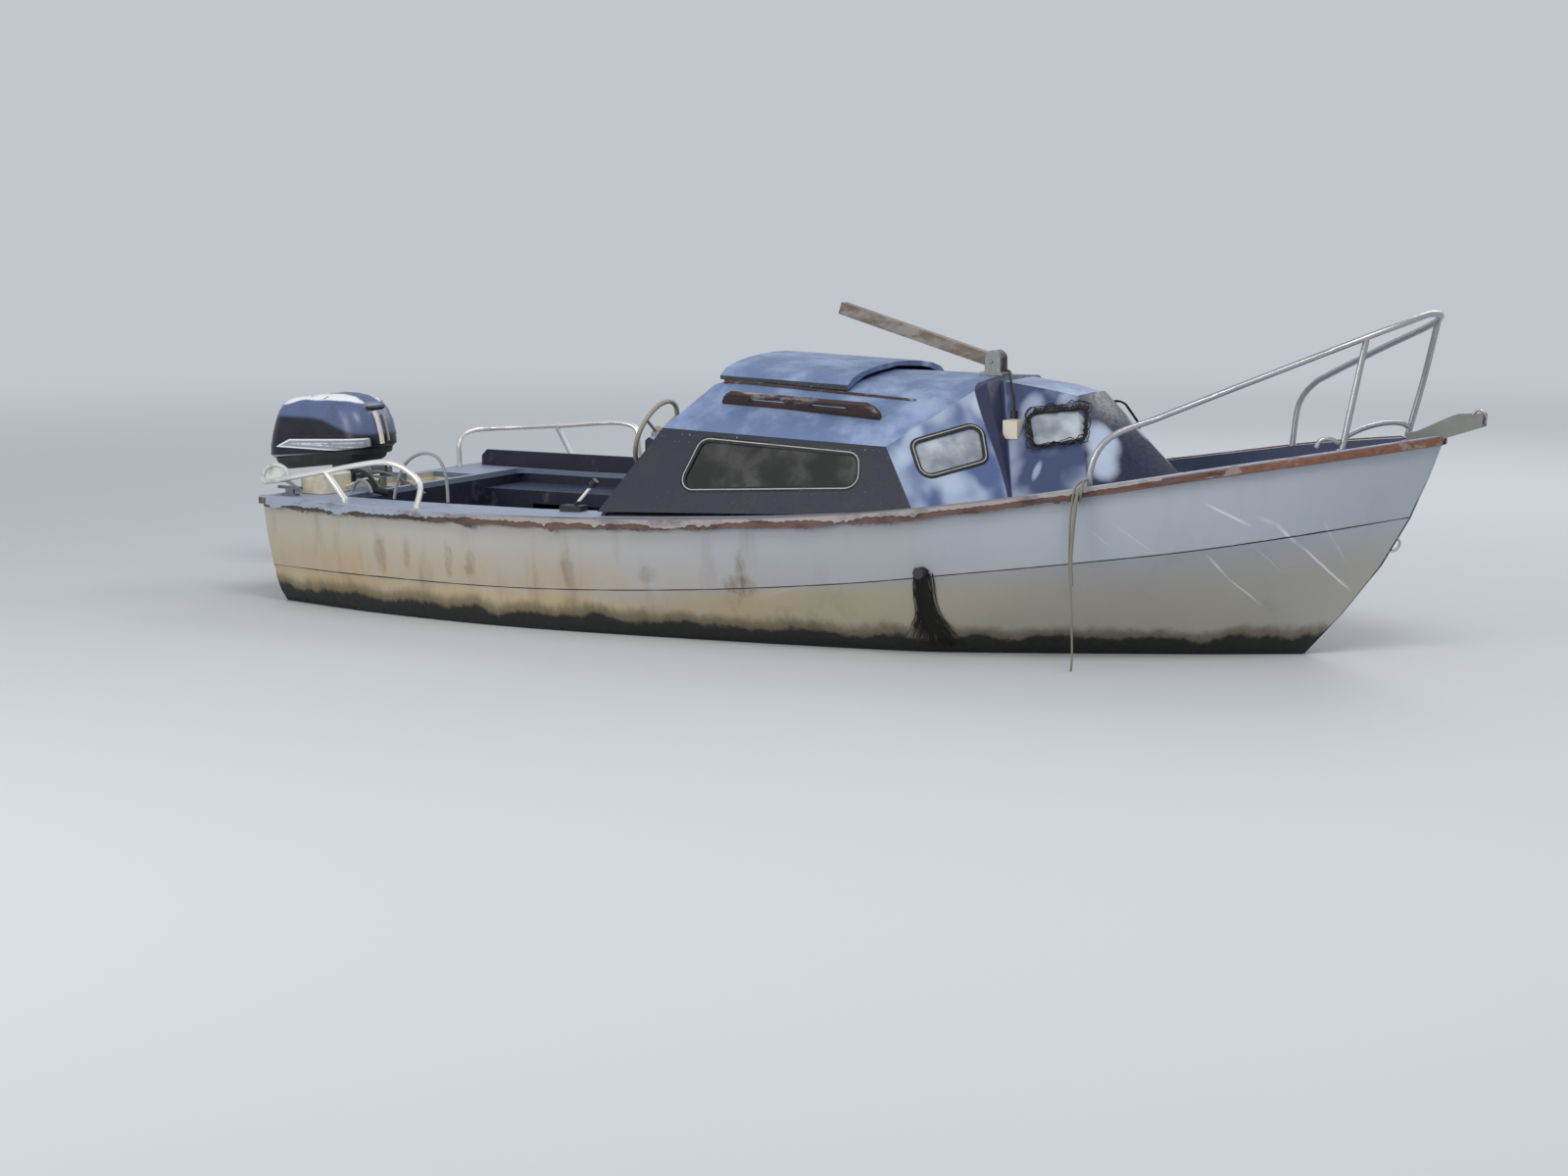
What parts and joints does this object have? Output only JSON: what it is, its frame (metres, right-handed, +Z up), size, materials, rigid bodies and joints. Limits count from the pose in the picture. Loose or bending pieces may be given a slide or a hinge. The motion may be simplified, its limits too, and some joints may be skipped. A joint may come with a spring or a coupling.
{
  "type": "cabin cruiser",
  "caption": "Small open-cockpit motor cruiser with a raked cuddy cabin, bow and stern rails, a mast stub lying aft and an outboard motor.",
  "frame": {"origin": "on the centreline at the waterline, below the middle of the hull's length", "axes": "+X to the bow, +Y to port, +Z up"},
  "size_m": [5.6571, 2.0446, 1.7494],
  "materials": {
    "hull": "faded gelcoat",
    "deck": "chalky gelcoat",
    "navy": "faded blue paint",
    "liner": "worn paint",
    "cream": "aged moulding",
    "glass": "dirty tinted pane",
    "wood": "weathered varnish",
    "timber": "grey weathered timber",
    "steel": "dull polish",
    "rubber": "grey, chalky",
    "alloy": "painted, worn",
    "motor": "gloss, chipped",
    "black": "matt",
    "rope": "weathered"
  },
  "bodies": {
    "boat": {"hull": "hull", "keel_skeg": "hull", "coaming_port": "navy", "deck_moulding": "deck", "cockpit_liner": "liner", "motor_well": "cream", "cabin_liner": "liner", "coachroof": "navy", "aft_bulkhead": "navy", "hatch_runner_port": "wood", "hatch_runner_starboard": "wood", "window_side_port": "glass", "window_side_starboard": "glass", "window_quarter_port": "glass", "window_quarter_starboard": "glass", "window_trunk_port": "glass", "window_trunk_starboard": "glass", "grab_rail_port": "wood", "grab_rail_starboard": "wood", "tabernacle": "steel", "pulpit": "steel", "stern_rail_port": "steel", "stern_rail_starboard": "steel", "rub_rail_port": "rubber", "rub_rail_starboard": "rubber", "bow_roller": "steel", "towing_eye": "steel", "quarter_cleat_port": "alloy", "quarter_cleat_starboard": "alloy", "bow_cleat": "alloy", "transom_pad": "wood", "motor_clamp": "alloy", "helm_console": "navy", "shift_lever": "cream", "fuel_tank": "cream", "skin_fitting": "black", "hanging_rope": "rope", "deck_socket": "cream", "mast_cable": "black"},
    "hatch": {"roof_hatch": "navy"},
    "door_port": {"companion_door_port": "navy"},
    "door_starboard": {"companion_door_starboard": "navy"},
    "mast": {"mast_stub": "timber"},
    "motor_bracket": {"motor_swivel": "alloy"},
    "motor": {"motor_cowl": "motor", "motor_pan": "black", "motor_leg": "alloy"},
    "screw": {"propeller": "alloy"},
    "wheel": {"steering_wheel": "black"}
  },
  "joints": [
    {"name": "hatch_slide", "type": "slide", "parent": "boat", "child": "hatch", "axis": [0.9994, 0, -0.035], "range_m": [0, 0.33]},
    {"name": "door_port_hinge", "type": "hinge", "parent": "boat", "child": "door_port", "pos_m": [-0.538, 0.267, 0.6], "axis": [-0.5391, 0, -0.8423], "range_deg": [0, 100]},
    {"name": "door_starboard_hinge", "type": "hinge", "parent": "boat", "child": "door_starboard", "pos_m": [-0.538, -0.267, 0.6], "axis": [0.5391, 0, 0.8423], "range_deg": [0, 100]},
    {"name": "mast_hinge", "type": "hinge", "parent": "boat", "child": "mast", "pos_m": [0.737, 0, 1.1], "axis": [0, 1, 0], "range_deg": [0, 74]},
    {"name": "motor_tilt", "type": "hinge", "parent": "boat", "child": "motor_bracket", "pos_m": [-2.375, 0, 0.502], "axis": [0, 1, 0], "range_deg": [0, 50]},
    {"name": "motor_steer", "type": "hinge", "parent": "motor_bracket", "child": "motor", "pos_m": [-2.445, 0, 0.4], "axis": [0, 0, 1], "range_deg": [-35, 35]},
    {"name": "propeller_spin", "type": "hinge", "parent": "motor", "child": "screw", "pos_m": [-2.645, 0, -0.24], "axis": [1, 0, 0], "continuous": true},
    {"name": "wheel_turn", "type": "hinge", "parent": "boat", "child": "wheel", "pos_m": [-1.05, 0.3, 0.706], "axis": [-0.9272, 0, 0.3746], "range_deg": [-350, 350]}
  ],
  "couplings": [
    {"joint": "wheel_turn", "follows": "motor_steer", "ratio": -10}
  ]
}
